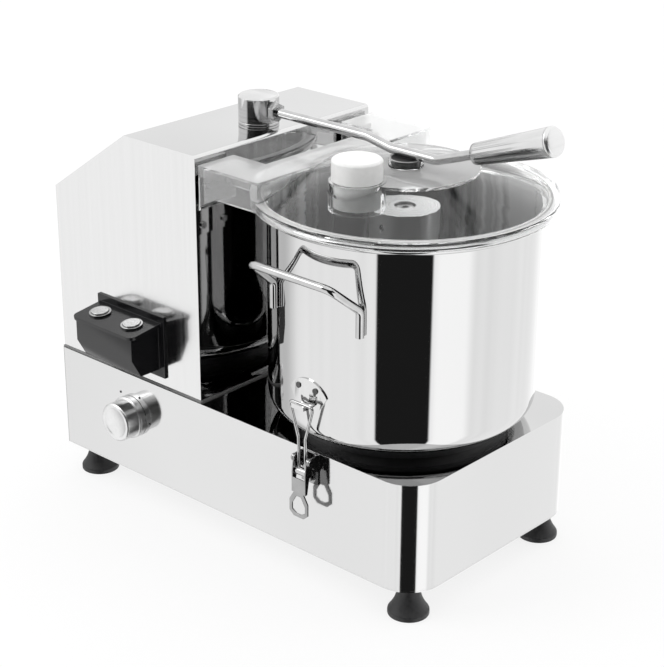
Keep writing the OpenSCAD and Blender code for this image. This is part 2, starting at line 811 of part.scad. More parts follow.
module catch_plate() {
    intersection() {
        translate([bowl_x, 0, 0]) difference() {
            cylinder(r = bowl_r + catch_t, h = bowl_z1);
            translate([0, 0, -over]) cylinder(r = bowl_r, h = bowl_z1 + 2 * over);
        }
        front_slab(0, bowl_r + 2 * catch_t) translate([latch_x, catch_z0]) intersection() {
            circle(catch_h);
            polygon([
                [-catch_foot_w, 0], [catch_foot_w, 0], [catch_w, catch_h / 2], [catch_w, catch_h],
                [-catch_w, catch_h], [-catch_w, catch_h / 2]
            ]);
        }
    }
    difference() {
        union() {
            translate([latch_x - lip_x, bail_y - lip_out, catch_z0]) cube([2 * lip_x, lip_out - bail_y, catch_lip_t]);
            translate([latch_x - lip_x, bail_y - lip_out, catch_z0]) cube([2 * lip_x, catch_lip_t, catch_lip_t + catch_lip_h]);
        }
        translate([bowl_x, 0, 0]) cylinder(r = bowl_r, h = bowl_z1);
    }
    for (side = [-1, 1]) translate([latch_x + side * catch_rivet_x, 0, catch_rivet_z]) intersection() {
        rotate([90, 0, 0]) cylinder(r = catch_rivet_r, h = bowl_r + 2 * catch_t);
        translate([bowl_x - latch_x - side * catch_rivet_x, 0, -catch_h]) difference() {
            cylinder(r = bowl_r + catch_t + latch_head_h, h = 2 * catch_h);
            translate([0, 0, -over]) cylinder(r = bowl_r + catch_t / 2, h = 2 * catch_h + 2 * over);
        }
    }
}

module catch_plates() color("silver") both_sides() catch_plate();

// A plate that stands in the length of the object, drawn as depth by height
module side_plate(x, t) translate([x, 0, 0]) rotate([90, 0, 90]) linear_extrude(t) children();

// A cylinder along X, centred on x = 0
module cross_pin(y, z, r, l) translate([-l / 2, y, z]) rotate([0, 90, 0]) cylinder(r = r, h = l);

// A stepped stub of the latch's pivot, through one cheek and one ear, with its head outside
module stub_pin(side) mirror([side, 0, 0]) translate([cheek_x - cheek_t, latch_y, latch_pivot_z]) rotate([0, 90, 0]) {
    cylinder(r = latch_pin_r, h = latch_ear_x + latch_base_t - cheek_x + cheek_t);
    translate([0, 0, latch_ear_x + latch_base_t - cheek_x + cheek_t]) cylinder(r = latch_head_r, h = latch_head_h);
}

module latch_base() {
    back = -base_w / 2;
    top = base_top - latch_head_h;
    foot = barrel_z - latch_throw - latch_pin_r;
    translate([-latch_ear_x - latch_base_t, back - latch_base_t, foot])
        cube([2 * (latch_ear_x + latch_base_t), latch_base_t, top - foot]);
    for (side = [0, 1]) mirror([side, 0, 0]) side_plate(latch_ear_x, latch_base_t) {
        translate([latch_y, latch_pivot_z]) circle(latch_eye_r);
        polygon([
            [back, top], [latch_y, latch_pivot_z + latch_eye_r], [latch_y - latch_eye_r, latch_pivot_z],
            [latch_y, latch_pivot_z - latch_eye_r], [back, foot + latch_throw]
        ]);
    }
    for (side = [0, 1]) stub_pin(side);
    for (z = [foot + latch_head_r + latch_base_t, latch_pivot_z - latch_throw / 2])
        translate([0, back - latch_base_t, z]) rotate([90, 0, 0]) cylinder(r = latch_head_r, h = latch_head_h);
}

module latch_bases() color("silver") both_sides() translate([latch_x, 0, 0]) latch_base();

// Outline of the lever's finger loop, made narrower all round by an inset
function loop_points(inset) = let (
    top = latch_pivot_z - lever_neck_drop - inset,
    low = latch_pivot_z - lever_tip_drop + inset,
    waist = lever_neck_w / 2 - inset,
    wide = lever_loop_w / 2 - inset,
    shoulder = top - (lever_tip_drop - lever_neck_drop) * loop_shoulder_share
) [[-waist, top], [-wide, shoulder], [-wide, low + wide * loop_foot_share], [-waist, low],
   [waist, low], [wide, low + wide * loop_foot_share], [wide, shoulder], [waist, top]];

module latch_lever() {
    face = latch_y - latch_eye_r - lever_web_t;
    neck_z = latch_pivot_z - lever_neck_drop;
    low_barrel = barrel_z - latch_eye_r;
    difference() {
        for (side = [0, 1]) mirror([side, 0, 0]) side_plate(cheek_x - cheek_t, cheek_t) {
            translate([latch_y, latch_pivot_z]) circle(latch_eye_r);
            translate([barrel_y, barrel_z]) circle(latch_eye_r);
            polygon([
                [latch_y - latch_eye_r, latch_pivot_z], [latch_y + latch_eye_r, latch_pivot_z],
                [barrel_y + latch_eye_r, barrel_z], [barrel_y, low_barrel],
                [face + 2 * lever_web_t, neck_z], [face, neck_z], [face, barrel_z]
            ]);
        }
        cross_pin(latch_y, latch_pivot_z, latch_pin_r + shaft_fit, 4 * cheek_x);
    }
    cross_pin(barrel_y, barrel_z, latch_pin_r, 2 * cheek_x);
    front_slab(face + lever_web_t, lever_web_t) {
        translate([-cheek_x, neck_z]) square([2 * cheek_x, low_barrel - lever_web_t - neck_z]);
        translate([-lever_neck_w / 2, neck_z - lever_web_t]) square([lever_neck_w, 2 * lever_web_t]);
        difference() {
            polygon(loop_points(0));
            polygon(loop_points(loop_band));
        }
    }
}

module front_latch_lever() color("silver") translate([latch_x, 0, 0]) latch_lever();

module rear_latch_lever() color("silver") mirror([0, 1, 0]) translate([latch_x, 0, 0]) latch_lever();

module latch_bail() {
    start = barrel_z + barrel_r - (barrel_r - latch_pin_r) / 2;
    neck = barrel_z + bail_neck_rise;
    neck_y = barrel_y + (bail_y - barrel_y) * bail_neck_rise / (bail_z - barrel_z);
    bent_rod([
        [-bail_neck_x, barrel_y, start], [-bail_neck_x, neck_y, neck], [-bail_top_x, bail_y, bail_z],
        [bail_top_x, bail_y, bail_z], [bail_neck_x, neck_y, neck], [bail_neck_x, barrel_y, start]
    ], bail_r, bail_bend_r, [0, 1, 0]);
    difference() {
        cross_pin(barrel_y, barrel_z, barrel_r, barrel_l);
        cross_pin(barrel_y, barrel_z, latch_pin_r + shaft_fit, barrel_l + 2 * over);
    }
}

module front_bail() color("silver") translate([latch_x, 0, 0]) latch_bail();

module rear_bail() color("silver") mirror([0, 1, 0]) translate([latch_x, 0, 0]) latch_bail();

module blade_hub() color("gainsboro") translate([bowl_x, 0, 0]) difference() {
    translate([0, 0, hub_z0]) cylinder(r = hub_r, h = hub_z1 - hub_z0);
    translate([0, 0, hub_z0 - over]) cylinder(r = hub_bore_r, h = hub_roof - hub_z0 + over);
    translate([0, 0, hub_roof - over]) cylinder(r = spindle_r + shaft_fit, h = hub_z1 - hub_roof + 2 * over);
    translate([0, 0, spindle_top]) cylinder(r = hub_recess_r, h = hub_recess_h + over);
    translate([0, 0, hub_z1 - set_screw_drop]) rotate([90, 0, 0]) cylinder(r = set_screw_r, h = hub_r + over);
}

module hub_screw() color("dimgray") translate([bowl_x, 0, spindle_top]) difference() {
    screw(hub_screw_r, hub_screw_l, hub_screw_head_r, hub_screw_head_h);
    translate([0, 0, hub_screw_head_h / 2]) cylinder(r = hub_screw_r, h = hub_screw_head_h, $fn = 6);
}

module set_screw() color("black") translate([bowl_x, 0, hub_z1 - set_screw_drop]) rotate([90, 0, 0]) difference() {
    translate([0, 0, spindle_r + shaft_fit]) cylinder(r = set_screw_r - shaft_fit, h = hub_r - spindle_r - 2 * shaft_fit - run_gap);
    translate([0, 0, hub_r - set_socket_h]) cylinder(r = set_socket_r, h = 2 * set_socket_h, $fn = 6);
}

// One curved blade with its ring, in plan
module blade_outline() difference() {
    translate([blade_reach / 2, 0]) circle(blade_reach / 2);
    translate([blade_reach / 2 - blade_shift[0], -blade_shift[1]]) circle(blade_reach / 2);
    circle(hub_r + shaft_fit);
}

module s_blades() color("silver") for (i = [0, 1]) translate([bowl_x, 0, blade_zs[i]]) rotate(i * 180) {
    difference() {
        cylinder(r = hub_r + blade_ring_w, h = blade_ring_h);
        translate([0, 0, -over]) cylinder(r = hub_r + shaft_fit, h = blade_ring_h + 2 * over);
    }
    translate([0, 0, (blade_ring_h - blade_t) / 2]) linear_extrude(blade_t) blade_outline();
}

module control_board() color("darkgreen") {
    back = tower_w / 2 - sheet;
    translate([board_x, back - standoff_l - board_t, board_z]) cube([board_l, board_t, board_w]);
    for (x = [standoff_r, board_l - standoff_r], z = [standoff_r, board_w - standoff_r])
        translate([board_x + x, back, board_z + z]) rotate([90, 0, 0]) cylinder(r = standoff_r, h = standoff_l);
    translate([board_x + board_l / 2, back - standoff_l - board_t - chip_h, board_z + cap_r])
        cube([board_l / 3, chip_h, board_w / 2]);
    translate([board_x + 2 * cap_r, back - standoff_l - board_t, board_z + board_w / 2])
        rotate([90, 0, 0]) cylinder(r = cap_r, h = 2 * cap_r);
}

// A sensor that looks at the flat of the lever's cam, on a bracket under the roof
module interlock_sensor() color("black") translate([head_x, -cam_r - sensor_gap, cam_z + cam_h / 2]) {
    rotate([90, 0, 0]) cylinder(r = sensor_r, h = sensor_l);
    translate([-sensor_bracket_w / 2, -sensor_l / 2 - sensor_bracket_t / 2, -sensor_r - sensor_bracket_t / 2])
        cube([sensor_bracket_w, sensor_bracket_t, tower_top - sheet - cam_z - cam_h / 2 + sensor_r + sensor_bracket_t / 2]);
    translate([-sensor_bracket_w / 2, -sensor_l / 2 - sensor_bracket_t / 2, tower_top - sheet - sensor_bracket_t - cam_z - cam_h / 2])
        cube([sensor_bracket_w, sensor_bracket_w, sensor_bracket_t]);
}

module gland_axis() translate([gland_x, base_w / 2, gland_z]) rotate([-90, 0, 0]) children();

module cable_gland() color("black") gland_axis() difference() {
    union() {
        cylinder(r = gland_hex_r, h = gland_hex_l, $fn = 6);
        cylinder(r1 = 0.9 * gland_hex_r, r2 = gland_r, h = gland_dome_l);
        translate([0, 0, -sheet - gland_nut_l]) cylinder(r = gland_r - shaft_fit, h = sheet + gland_nut_l);
        translate([0, 0, -sheet - gland_nut_l]) cylinder(r = gland_hex_r, h = gland_nut_l, $fn = 6);
    }
    translate([0, 0, -sheet - gland_nut_l - over])
        cylinder(r = gland_bore_r, h = sheet + gland_nut_l + gland_dome_l + 2 * over);
}

module knob_axis() translate([knob_x, -base_w / 2, knob_z]) rotate([90, 0, 0]) children();

module speed_knob() color("gainsboro") knob_axis() {
    rotate_extrude() polygon([
        [0, knob_recess_h], [knob_recess_r, knob_recess_h], [knob_recess_r, run_gap], [knob_skirt_r, run_gap], [knob_skirt_r, knob_skirt_h - knob_edge],
        [knob_skirt_r - knob_edge, knob_skirt_h], [knob_r, knob_skirt_h], [knob_r, knob_h - knob_edge],
        [knob_r - knob_edge, knob_h], [knob_r - 3 * knob_edge, knob_h], [knob_r - 4 * knob_edge, knob_h - knob_groove],
        [0, knob_h - knob_groove]
    ]);
    translate([0, 0, -sheet - pot_l / 2]) cylinder(r = knob_shaft_r, h = sheet + pot_l / 2 + knob_recess_h + over);
}

module dial_marks() color("black") knob_axis() for (i = [0 : mark_count - 1])
    rotate(mark_from_angle + i * mark_sweep_angle / (mark_count - 1)) translate([mark_ring_r, 0, 0]) cylinder(r = mark_r, h = mark_h);

module potentiometer() color("dimgray") knob_axis() difference() {
    union() {
        translate([0, 0, -sheet - pot_l]) cylinder(r = pot_r, h = pot_l);
        translate([0, 0, -sheet - over]) cylinder(r = pot_bush_r - shaft_fit, h = sheet + over + pot_nut_h);
        cylinder(r = pot_nut_r, h = pot_nut_h, $fn = 6);
    }
    translate([0, 0, -sheet - pot_l / 2 - over]) cylinder(r = knob_shaft_r + shaft_fit, h = sheet + pot_l);
}

// Side view of the switch box, depth from the tower by height, made smaller by a wall
module box_side(t) polygon([
    [0, box_low + t], [0, box_top - t], [box_d - t, box_top - t - (box_d - t) * tan(box_tilt)],
    [box_d - t, box_top - box_front_h], [box_foot_d - t, box_low + t]
]);

module box_slab(x, w) translate([x + w, -tower_w / 2, 0]) rotate([90, 0, -90]) linear_extrude(w) children();

// The middle of the sloping panel's back edge, with the panel's face at z = 0
module panel_frame() translate([box_x0 + box_w / 2, -tower_w / 2, box_top]) rotate([box_tilt, 0, 0]) children();

module button_at(side) panel_frame() translate([side * button_dx, -button_out, 0]) children();

module button_axes() for (side = [-1, 1]) button_at(side) children();

module switch_box() color("black") difference() {
    union() {
        box_slab(box_x0, box_w) box_side(0);
        panel_frame() translate([0, 0, -box_rim_h]) linear_extrude(box_rim_h) hull() {
            translate([-box_w / 2 - box_rim, -box_wall]) square([box_w + 2 * box_rim, box_wall / 2]);
            for (side = [-1, 1])
                translate([side * (box_w / 2 + box_rim - box_corner), box_corner - box_d - box_rim]) circle(box_corner);
        }
        translate([box_x0 + (box_w - box_back_w) / 2, -tower_w / 2 - box_wall, box_low - box_tail])
            cube([box_back_w, box_wall, box_h + box_tail + box_ridge]);
    }
    box_slab(box_x0 + box_wall, box_w - 2 * box_wall) translate([-over, 0]) box_side(box_wall);
    button_axes() translate([0, 0, -box_rim_h - over]) cylinder(r = bezel_tube_r + shaft_fit, h = box_rim_h + 2 * over);
}

module button_bezels() color("silver") button_axes() difference() {
    union() {
        cylinder(r = bezel_r, h = bezel_h);
        translate([0, 0, contact_top]) cylinder(r = bezel_tube_r, h = bezel_h - contact_top);
    }
    translate([0, 0, contact_top - over]) cylinder(r = button_r + run_gap, h = 2 * button_h);
}

module push_button(side) button_at(side) translate([0, 0, button_proud - button_h]) cylinder(r = button_r, h = button_h);

module start_button() color("forestgreen") push_button(-1);

module stop_button() color("firebrick") push_button(1);

module contact_blocks() color("dimgray") button_axes()
    translate([-contact_w / 2, -contact_w / 2, contact_top - contact_h]) cube([contact_w, contact_w, contact_h]);

module lever_head() color("silver") translate([head_x, 0, head_z0]) difference() {
    rotate_extrude() polygon([
        [0, 0], [head_r, 0], [head_r, head_h - head_edge], [head_r - head_edge, head_h], [0, head_h]
    ]);
    translate([0, 0, -over]) cylinder(r = post_r + shaft_fit, h = post_in_head + over);
    translate([rod_p0.x - head_x, 0, rod_z - head_z0]) rotate([0, 90, 0]) cylinder(r = rod_r + shaft_fit, h = head_r);
}

module lever_nut() color("silver") translate([head_x + head_r, 0, rod_z]) rotate([0, 90, 0]) difference() {
    cylinder(r = nut_r, h = nut_l, $fn = 6);
    translate([0, 0, -over]) cylinder(r = rod_r + shaft_fit, h = nut_l + 2 * over);
}

module lever_rod() color("silver") bent_rod([
    rod_p0, rod_p1, rod_p2, rod_p3, grip_p0 + (grip_rod_depth - over) * grip_dir
], rod_r, rod_bend_r, [0, 1, 0]);

module grip_axis() translate(grip_p0) rotate([0, 90 - grip_angle, 0]) children();

module lever_grip() color("silver") grip_axis() difference() {
    rotate_extrude() polygon([
        [0, 0], [grip_r0 - grip_edge, 0], [grip_r0, grip_edge], [grip_r1, grip_l - grip_cap_l], [0, grip_l - grip_cap_l]
    ]);
    translate([0, 0, -over]) cylinder(r = rod_r + shaft_fit, h = grip_rod_depth + over);
}

module grip_cap() color("white") grip_axis() translate([0, 0, grip_l - grip_cap_l]) rotate_extrude() polygon([
    [0, 0], [grip_r1, 0], [grip_r1, grip_cap_l - 2 * grip_edge], [grip_r1 - grip_edge, grip_cap_l - grip_edge / 2],
    [grip_r1 - 3 * grip_edge, grip_cap_l], [0, grip_cap_l]
]);

module lever_post() color("silver") translate([head_x, 0, 0]) {
    translate([0, 0, cam_z]) cylinder(r = post_r, h = head_z0 + post_in_head - run_gap - cam_z);
    translate([0, 0, cam_z]) intersection() {
        cylinder(r = cam_r, h = cam_h);
        translate([-cam_flat, -cam_r, -over]) cube([cam_flat + cam_r, 2 * cam_r, cam_h + 2 * over]);
    }
}

module post_bushing() color("silver") translate([head_x, 0, 0]) difference() {
    union() {
        translate([0, 0, tower_top]) cylinder(r = bush_flange_r, h = bush_flange_h);
        translate([0, 0, bush_z0]) cylinder(r = bush_r - shaft_fit, h = tower_top - bush_z0 + over);
    }
    translate([0, 0, bush_z0 - over]) cylinder(r = post_r + shaft_fit, h = bush_l + bush_flange_h + 2 * over);
}

// Half section of the lid's dome, radius by height
module dome_section() polygon([
    [0, lid_top_z], [lid_top_r, lid_top_z], [lid_slope_r, lid_z0 + lid_flange_h], [lid_r, lid_z0 + lid_flange_h],
    [lid_r, lid_z0 - lid_skirt], [lid_r - lid_skirt_w, lid_z0 - lid_skirt], [lid_r - lid_skirt_w, lid_z0],
    [lid_slope_r, lid_z0], [lid_top_r, lid_top_z - lid_wall], [0, lid_top_z - lid_wall]
]);

module dome_volume() translate([bowl_x, 0, 0]) rotate_extrude() polygon([
    [0, ear_heel_z - over], [lid_r, ear_heel_z - over], [lid_r, lid_z0 + lid_flange_h],
    [lid_slope_r, lid_z0 + lid_flange_h], [lid_top_r, lid_top_z], [0, lid_top_z]
]);

// Plan of the hinge box behind the dome, with the notch between its two ears
module ear_plan(t) difference() {
    translate([ear_x0 + t, -ear_w + t]) square([ear_x1 - ear_x0 - 2 * t, 2 * (ear_w - t)]);
    translate([ear_x0 - over, -ear_inner - t]) square([notch_x - ear_x0 + over + t, 2 * (ear_inner + t)]);
}

module hinge_box() difference() {
    union() {
        translate([0, 0, ear_low]) linear_extrude(ear_top - ear_low) ear_plan(0);
        both_sides() {
            translate([ear_x0, -ear_w, ear_heel_z]) cube([lid_wall, ear_w - ear_inner, ear_low - ear_heel_z]);
            front_slab(-ear_w + lid_wall, lid_wall)
                polygon([[ear_x0, ear_heel_z], [ear_x0, ear_low], [ear_x0 + ear_heel, ear_low]]);
        }
    }
    translate([0, 0, ear_low - over]) linear_extrude(ear_top - lid_wall - ear_low + over) ear_plan(lid_wall);
    dome_volume();
    both_sides() for (y = leaf_screw_ys) translate([ear_x0 - over, -y, lid_leaf_screw_z]) rotate([0, 90, 0])
        cylinder(r = leaf_screw_r, h = lid_wall + 2 * over);
}

module lid() color([0.9, 0.93, 0.95, 0.35]) {
    difference() {
        union() {
            translate([bowl_x, 0, 0]) rotate_extrude() dome_section();
            translate([chute_x, chute_y, lid_top_z - chute_drop]) cylinder(r = chute_r1, h = chute_drop + chute_lip);
        }
        translate([chute_x, chute_y, lid_top_z - chute_drop - over])
            cylinder(r = chute_r0, h = chute_drop + chute_lip + 2 * over);
    }
    translate([bowl_x, 0, lid_top_z]) difference() {
        cylinder(r = boss_r, h = lid_pad_h);
        cylinder(r = boss_r - boss_lip, h = lid_pad_h + over);
    }
    hinge_box();
}

module lid_gasket() color("white") translate([bowl_x, 0, bowl_z1]) difference() {
    cylinder(r = bead_c + bead_r / 2, h = gasket_h);
    translate([0, 0, -over]) cylinder(r = bead_c - bead_r / 2, h = gasket_h + 2 * over);
}

module lid_pad() color("dimgray") translate([bowl_x, 0, lid_top_z])
    cylinder(r = boss_r - boss_lip - shaft_fit, h = lid_pad_h);

module pusher() color("white") translate([chute_x, chute_y, lid_top_z + chute_lip + run_gap]) difference() {
    union() {
        rotate_extrude() polygon([
            [0, 0], [pusher_r, 0], [pusher_r, pusher_cap_h - pusher_edge], [pusher_r - pusher_edge, pusher_cap_h],
            [0, pusher_cap_h]
        ]);
        translate([0, 0, -pusher_stem_l]) cylinder(r = pusher_stem_r, h = pusher_stem_l + over);
    }
    translate([0, 0, -pusher_stem_l - over]) cylinder(r = pusher_stem_r - lid_wall, h = pusher_stem_l + over);
}

// One knuckle of a hinge leaf, counted from the middle of the object outwards
module knuckle(i) {
    step = leaf_l / knuckles;
    gap = run_gap / 2;
    translate([hinge_x, -leaf_y0 - i * step - gap, knuckle_z]) rotate([90, 0, 0])
        cylinder(r = knuckle_r, h = step - 2 * gap);
}

module leaf_bores(z) {
    for (y = leaf_screw_ys) translate([tower_x1 - over, -y, z]) rotate([0, 90, 0])
        cylinder(r = leaf_screw_r, h = ear_x0 - tower_x1 + 2 * over);
    translate([hinge_x, -leaf_y0 + over, knuckle_z]) rotate([90, 0, 0])
        cylinder(r = leaf_pin_r + shaft_fit, h = leaf_l + 2 * over);
}

module lid_hinge_leaves() color("gray") both_sides() difference() {
    step = leaf_l / knuckles;
    low = knuckle_z + knuckle_r + run_gap;
    union() {
        translate([ear_x0 - leaf_t, -leaf_y0 - leaf_l, low]) cube([leaf_t, leaf_l, lid_leaf_top - low]);
        translate([ear_x0 - leaf_t, -leaf_y0 - 2 * step + run_gap / 2, knuckle_z])
            cube([leaf_t, step - run_gap, low - knuckle_z]);
        knuckle(1);
    }
    leaf_bores(lid_leaf_screw_z);
}

module tower_hinge_leaves() color("gray") both_sides() difference() {
    step = leaf_l / knuckles;
    high = knuckle_z - knuckle_r - run_gap;
    union() {
        translate([tower_x1, -leaf_y0 - leaf_l, tower_leaf_low]) cube([leaf_t, leaf_l, high - tower_leaf_low]);
        for (i = [0, 2]) {
            translate([tower_x1, -leaf_y0 - (i + 1) * step + run_gap / 2, high])
                cube([leaf_t, step - run_gap, knuckle_z - high]);
            knuckle(i);
        }
    }
    leaf_bores(tower_leaf_screw_z);
}

module hinge_pins() color("silver") both_sides() translate([hinge_x, -leaf_y0, knuckle_z]) rotate([90, 0, 0])
    cylinder(r = leaf_pin_r, h = leaf_l);

module hinge_screws() color("silver") both_sides() for (y = leaf_screw_ys) {
    translate([ear_x0 + lid_wall, -y, lid_leaf_screw_z]) rotate([0, 90, 0])
        screw(leaf_screw_r - shaft_fit, lid_wall + leaf_t + leaf_t, leaf_screw_head_r, leaf_screw_head_h);
    translate([tower_x1 + leaf_t, -y, tower_leaf_screw_z]) rotate([0, 90, 0])
        screw(leaf_screw_r - shaft_fit, sheet + 2 * leaf_t, leaf_screw_head_r, leaf_screw_head_h);
}

place() base_pan();
place() bottom_cover();
place() rubber_feet();
place() foot_screws();
place() tower_shell();
place() tower_seal();
place() tower_screws();
place() motor_plate();
place() motor_body();
place() motor_bolts();
place() motor_shaft();
place() motor_fan();
place() fan_cowl();
place() drive_pulley();
place() drive_belt();
place() driven_pulley();
place() spindle();
place() spindle_bearings();
place() bearing_housing();
place() housing_bolts();
place() shaft_seal();
place() bowl_seat();
place() control_board();
place() interlock_sensor();
place() cable_gland();
place() speed_knob();
place() dial_marks();
place() potentiometer();
place() switch_box();
place() button_bezels();
place() start_button();
place() stop_button();
place() contact_blocks();
place() lever_head();
place() lever_nut();
place() lever_rod();
place() lever_grip();
place() grip_cap();
place() lever_post();
place() post_bushing();
place() lid();
place() lid_gasket();
place() lid_pad();
place() pusher();
place() lid_hinge_leaves();
place() tower_hinge_leaves();
place() hinge_pins();
place() hinge_screws();
place() bowl();
place() bowl_handles();
place() catch_plates();
place() latch_bases();
place() front_latch_lever();
place() rear_latch_lever();
place() front_bail();
place() rear_bail();
place() blade_hub();
place() s_blades();
place() hub_screw();
place() set_screw();
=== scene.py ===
"""Bowl cutter: looks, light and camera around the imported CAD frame. Lengths are in metres."""

import json
import math

import bmesh
import bpy
from mathutils import Matrix, Vector

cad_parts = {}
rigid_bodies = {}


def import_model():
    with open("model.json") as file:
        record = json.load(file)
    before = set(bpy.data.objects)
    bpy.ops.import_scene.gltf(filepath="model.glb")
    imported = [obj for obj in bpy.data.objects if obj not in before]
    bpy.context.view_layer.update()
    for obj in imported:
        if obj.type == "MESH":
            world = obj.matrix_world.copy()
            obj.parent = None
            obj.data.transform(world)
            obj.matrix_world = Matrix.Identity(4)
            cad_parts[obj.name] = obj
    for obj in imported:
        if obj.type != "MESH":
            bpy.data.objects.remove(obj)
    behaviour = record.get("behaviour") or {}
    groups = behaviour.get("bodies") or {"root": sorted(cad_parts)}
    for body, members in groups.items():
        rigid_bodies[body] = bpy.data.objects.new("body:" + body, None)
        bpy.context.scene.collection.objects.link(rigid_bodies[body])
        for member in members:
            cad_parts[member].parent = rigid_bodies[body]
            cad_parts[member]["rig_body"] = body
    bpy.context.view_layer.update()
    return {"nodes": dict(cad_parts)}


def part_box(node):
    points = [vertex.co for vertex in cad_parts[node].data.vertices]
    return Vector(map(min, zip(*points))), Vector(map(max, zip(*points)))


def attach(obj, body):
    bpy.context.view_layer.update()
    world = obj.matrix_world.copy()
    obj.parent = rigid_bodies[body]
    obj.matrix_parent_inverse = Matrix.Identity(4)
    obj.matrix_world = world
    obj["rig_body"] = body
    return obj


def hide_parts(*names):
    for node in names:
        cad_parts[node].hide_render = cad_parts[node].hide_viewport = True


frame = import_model()
NODES = frame["nodes"]
MM = 0.001


# ---------------------------------------------------------------- places taken from the frame

def middle(node):
    low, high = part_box(node)
    return (low + high) / 2


BOWL_AXIS = middle("bowl")
BOWL_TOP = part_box("bowl")[1].z
BOWL_BEAD_H = 8 * MM                # height of the rim's bead
BASE_MIDDLE = middle("base_pan")
EAR_REACH = 90 * MM                 # from the tower's front to where the lid's hinge box meets its dome
EAR_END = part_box("tower_shell")[1].x + EAR_REACH
EAR_BLEND = 20 * MM                 # length over which the haze and painted sheen of the hinge box fade
CATCH_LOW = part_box("catch_plates")[0].z
CATCH_SURFACE = 134.7 * MM          # radius of a catch plate's outer face
HOOK_H = 13 * MM                    # height of the part of the plate with the hook


# ---------------------------------------------------------------- node material helpers

def calculator(tree):
    """A function that adds a math node to a node tree, with numbers or sockets as its values."""
    def calc(operation, *values):
        n = tree.nodes.new("ShaderNodeMath")
        n.operation = operation
        for i, value in enumerate(values):
            if isinstance(value, (int, float)):
                n.inputs[i].default_value = value
            else:
                tree.links.new(value, n.inputs[i])
        return n.outputs[0]
    return calc


PATTERN = (0.3, 0.7)        # range of a noise pattern that is spread over a range of values


class Shader:
    """A small wrapper round one material's node tree."""

    def __init__(self, name):
        self.material = bpy.data.materials.new(name)
        self.material.use_nodes = True
        self.tree = self.material.node_tree
        self.nodes = self.tree.nodes
        self.bsdf = self.nodes["Principled BSDF"]
        self.output = self.nodes["Material Output"]

    def set(self, **values):
        for key, value in values.items():
            self.bsdf.inputs[key.replace("_", " ")].default_value = value
        return self

    def node(self, kind, **settings):
        made = self.nodes.new(kind)
        for key, value in settings.items():
            if key in made.inputs:
                made.inputs[key].default_value = value
            else:
                setattr(made, key, value)
        return made

    def link(self, out, into):
        self.tree.links.new(out, into)

    def place(self, scale):
        """Object coordinates stretched by a scale along each axis."""
        coords = self.node("ShaderNodeTexCoord")
        mapping = self.node("ShaderNodeMapping")
        mapping.inputs["Scale"].default_value = scale
        self.link(coords.outputs["Object"], mapping.inputs["Vector"])
        return mapping.outputs["Vector"]

    def noise(self, scale):
        noise = self.node("ShaderNodeTexNoise")
        noise.inputs["Scale"].default_value = 1.0
        noise.inputs["Detail"].default_value = 3.0
        noise.inputs["Roughness"].default_value = 0.5
        self.link(self.place(scale), noise.inputs["Vector"])
        return noise.outputs["Fac"]

    def spread(self, value, low, high, start=PATTERN[0], end=PATTERN[1]):
        """A value between start and end mapped to the range from low to high."""
        mapped = self.node("ShaderNodeMapRange")
        self.link(value, mapped.inputs["Value"])
        mapped.inputs["From Min"].default_value = start
        mapped.inputs["From Max"].default_value = end
        mapped.inputs["To Min"].default_value = low
        mapped.inputs["To Max"].default_value = high
        return mapped.outputs["Result"]

    def tint(self, value, dark, light):
        ramp = self.node("ShaderNodeValToRGB")
        for element, position, colour in zip(ramp.color_ramp.elements, PATTERN, (dark, light)):
            element.position = position
            element.color = (*colour, 1)
        self.link(value, ramp.inputs["Fac"])
        self.link(ramp.outputs["Color"], self.bsdf.inputs["Base Color"])

    def roughen(self, value, low, high):
        self.link(self.spread(value, low, high), self.bsdf.inputs["Roughness"])

    def bump(self, value, depth):
        bump = self.node("ShaderNodeBump")
        bump.inputs["Strength"].default_value = 1.0
        bump.inputs["Distance"].default_value = depth
        self.link(value, bump.inputs["Height"])
        self.link(bump.outputs["Normal"], self.bsdf.inputs["Normal"])


def metal(name, dark, light, grain, depth, rough, coat=0.0):
    """Metal with its grain stretched along one direction."""
    s = Shader(name).set(Metallic=1.0, Coat_Weight=coat, Coat_IOR=1.8, Coat_Roughness=0.02)
    pattern = s.noise(grain)
    s.tint(pattern, (dark,) * 3, (light,) * 3)
    s.roughen(pattern, *rough)
    s.bump(pattern, depth)
    return s.material


def plastic(name, dark, light, rough, grain, depth, gloss=0.5):
    """Plastic, rubber or paint with an even, fine grain."""
    s = Shader(name).set(Specular_IOR_Level=gloss)
    pattern = s.noise((grain,) * 3)
    s.tint(pattern, dark, light)
    s.roughen(pattern, *rough)
    s.bump(pattern, depth)
    return s.material


# White for the lid: a slight haze, and painted sheen where its share is large
HAZE_AND_SHEEN_WHITE = (0.91, 0.91, 0.91, 1)


def clear_plastic(name, haze_and_painted_sheen, ear_haze_and_painted_sheen):
    """Clear plastic with a thin gloss and a share of white: a slight haze, with painted sheen where the
    share is large.
    The white grows towards the hinge box as painted sheen for its several walls, which lie behind one
    another."""
    s = Shader(name).set(Transmission_Weight=1.0, IOR=1.18)
    s.set(Coat_Weight=0.25, Coat_IOR=1.5, Coat_Roughness=0.02)
    pattern = s.noise((9, 9, 9))
    s.tint(pattern, (0.97, 0.98, 0.98), (1.0, 1.0, 1.0))
    s.roughen(pattern, 0.0, 0.02)
    coords = s.node("ShaderNodeTexCoord")
    split = s.node("ShaderNodeSeparateXYZ")
    s.link(coords.outputs["Object"], split.inputs[0])
    share = s.spread(split.outputs["X"], ear_haze_and_painted_sheen, haze_and_painted_sheen, EAR_END - EAR_BLEND, EAR_END)
    haze_and_sheen = s.node("ShaderNodeBsdfDiffuse", Color=HAZE_AND_SHEEN_WHITE)
    mix = s.node("ShaderNodeMixShader")
    s.link(share, mix.inputs["Fac"])
    s.link(s.bsdf.outputs[0], mix.inputs[1])
    s.link(haze_and_sheen.outputs[0], mix.inputs[2])
    s.link(mix.outputs[0], s.output.inputs["Surface"])
    return s.material


PAINTED_FANS = 2                # painted highlight fans in a full turn
PAINTED_FAN_SHARE = 0.32        # how much the painted highlight fans weigh against the fine streaks
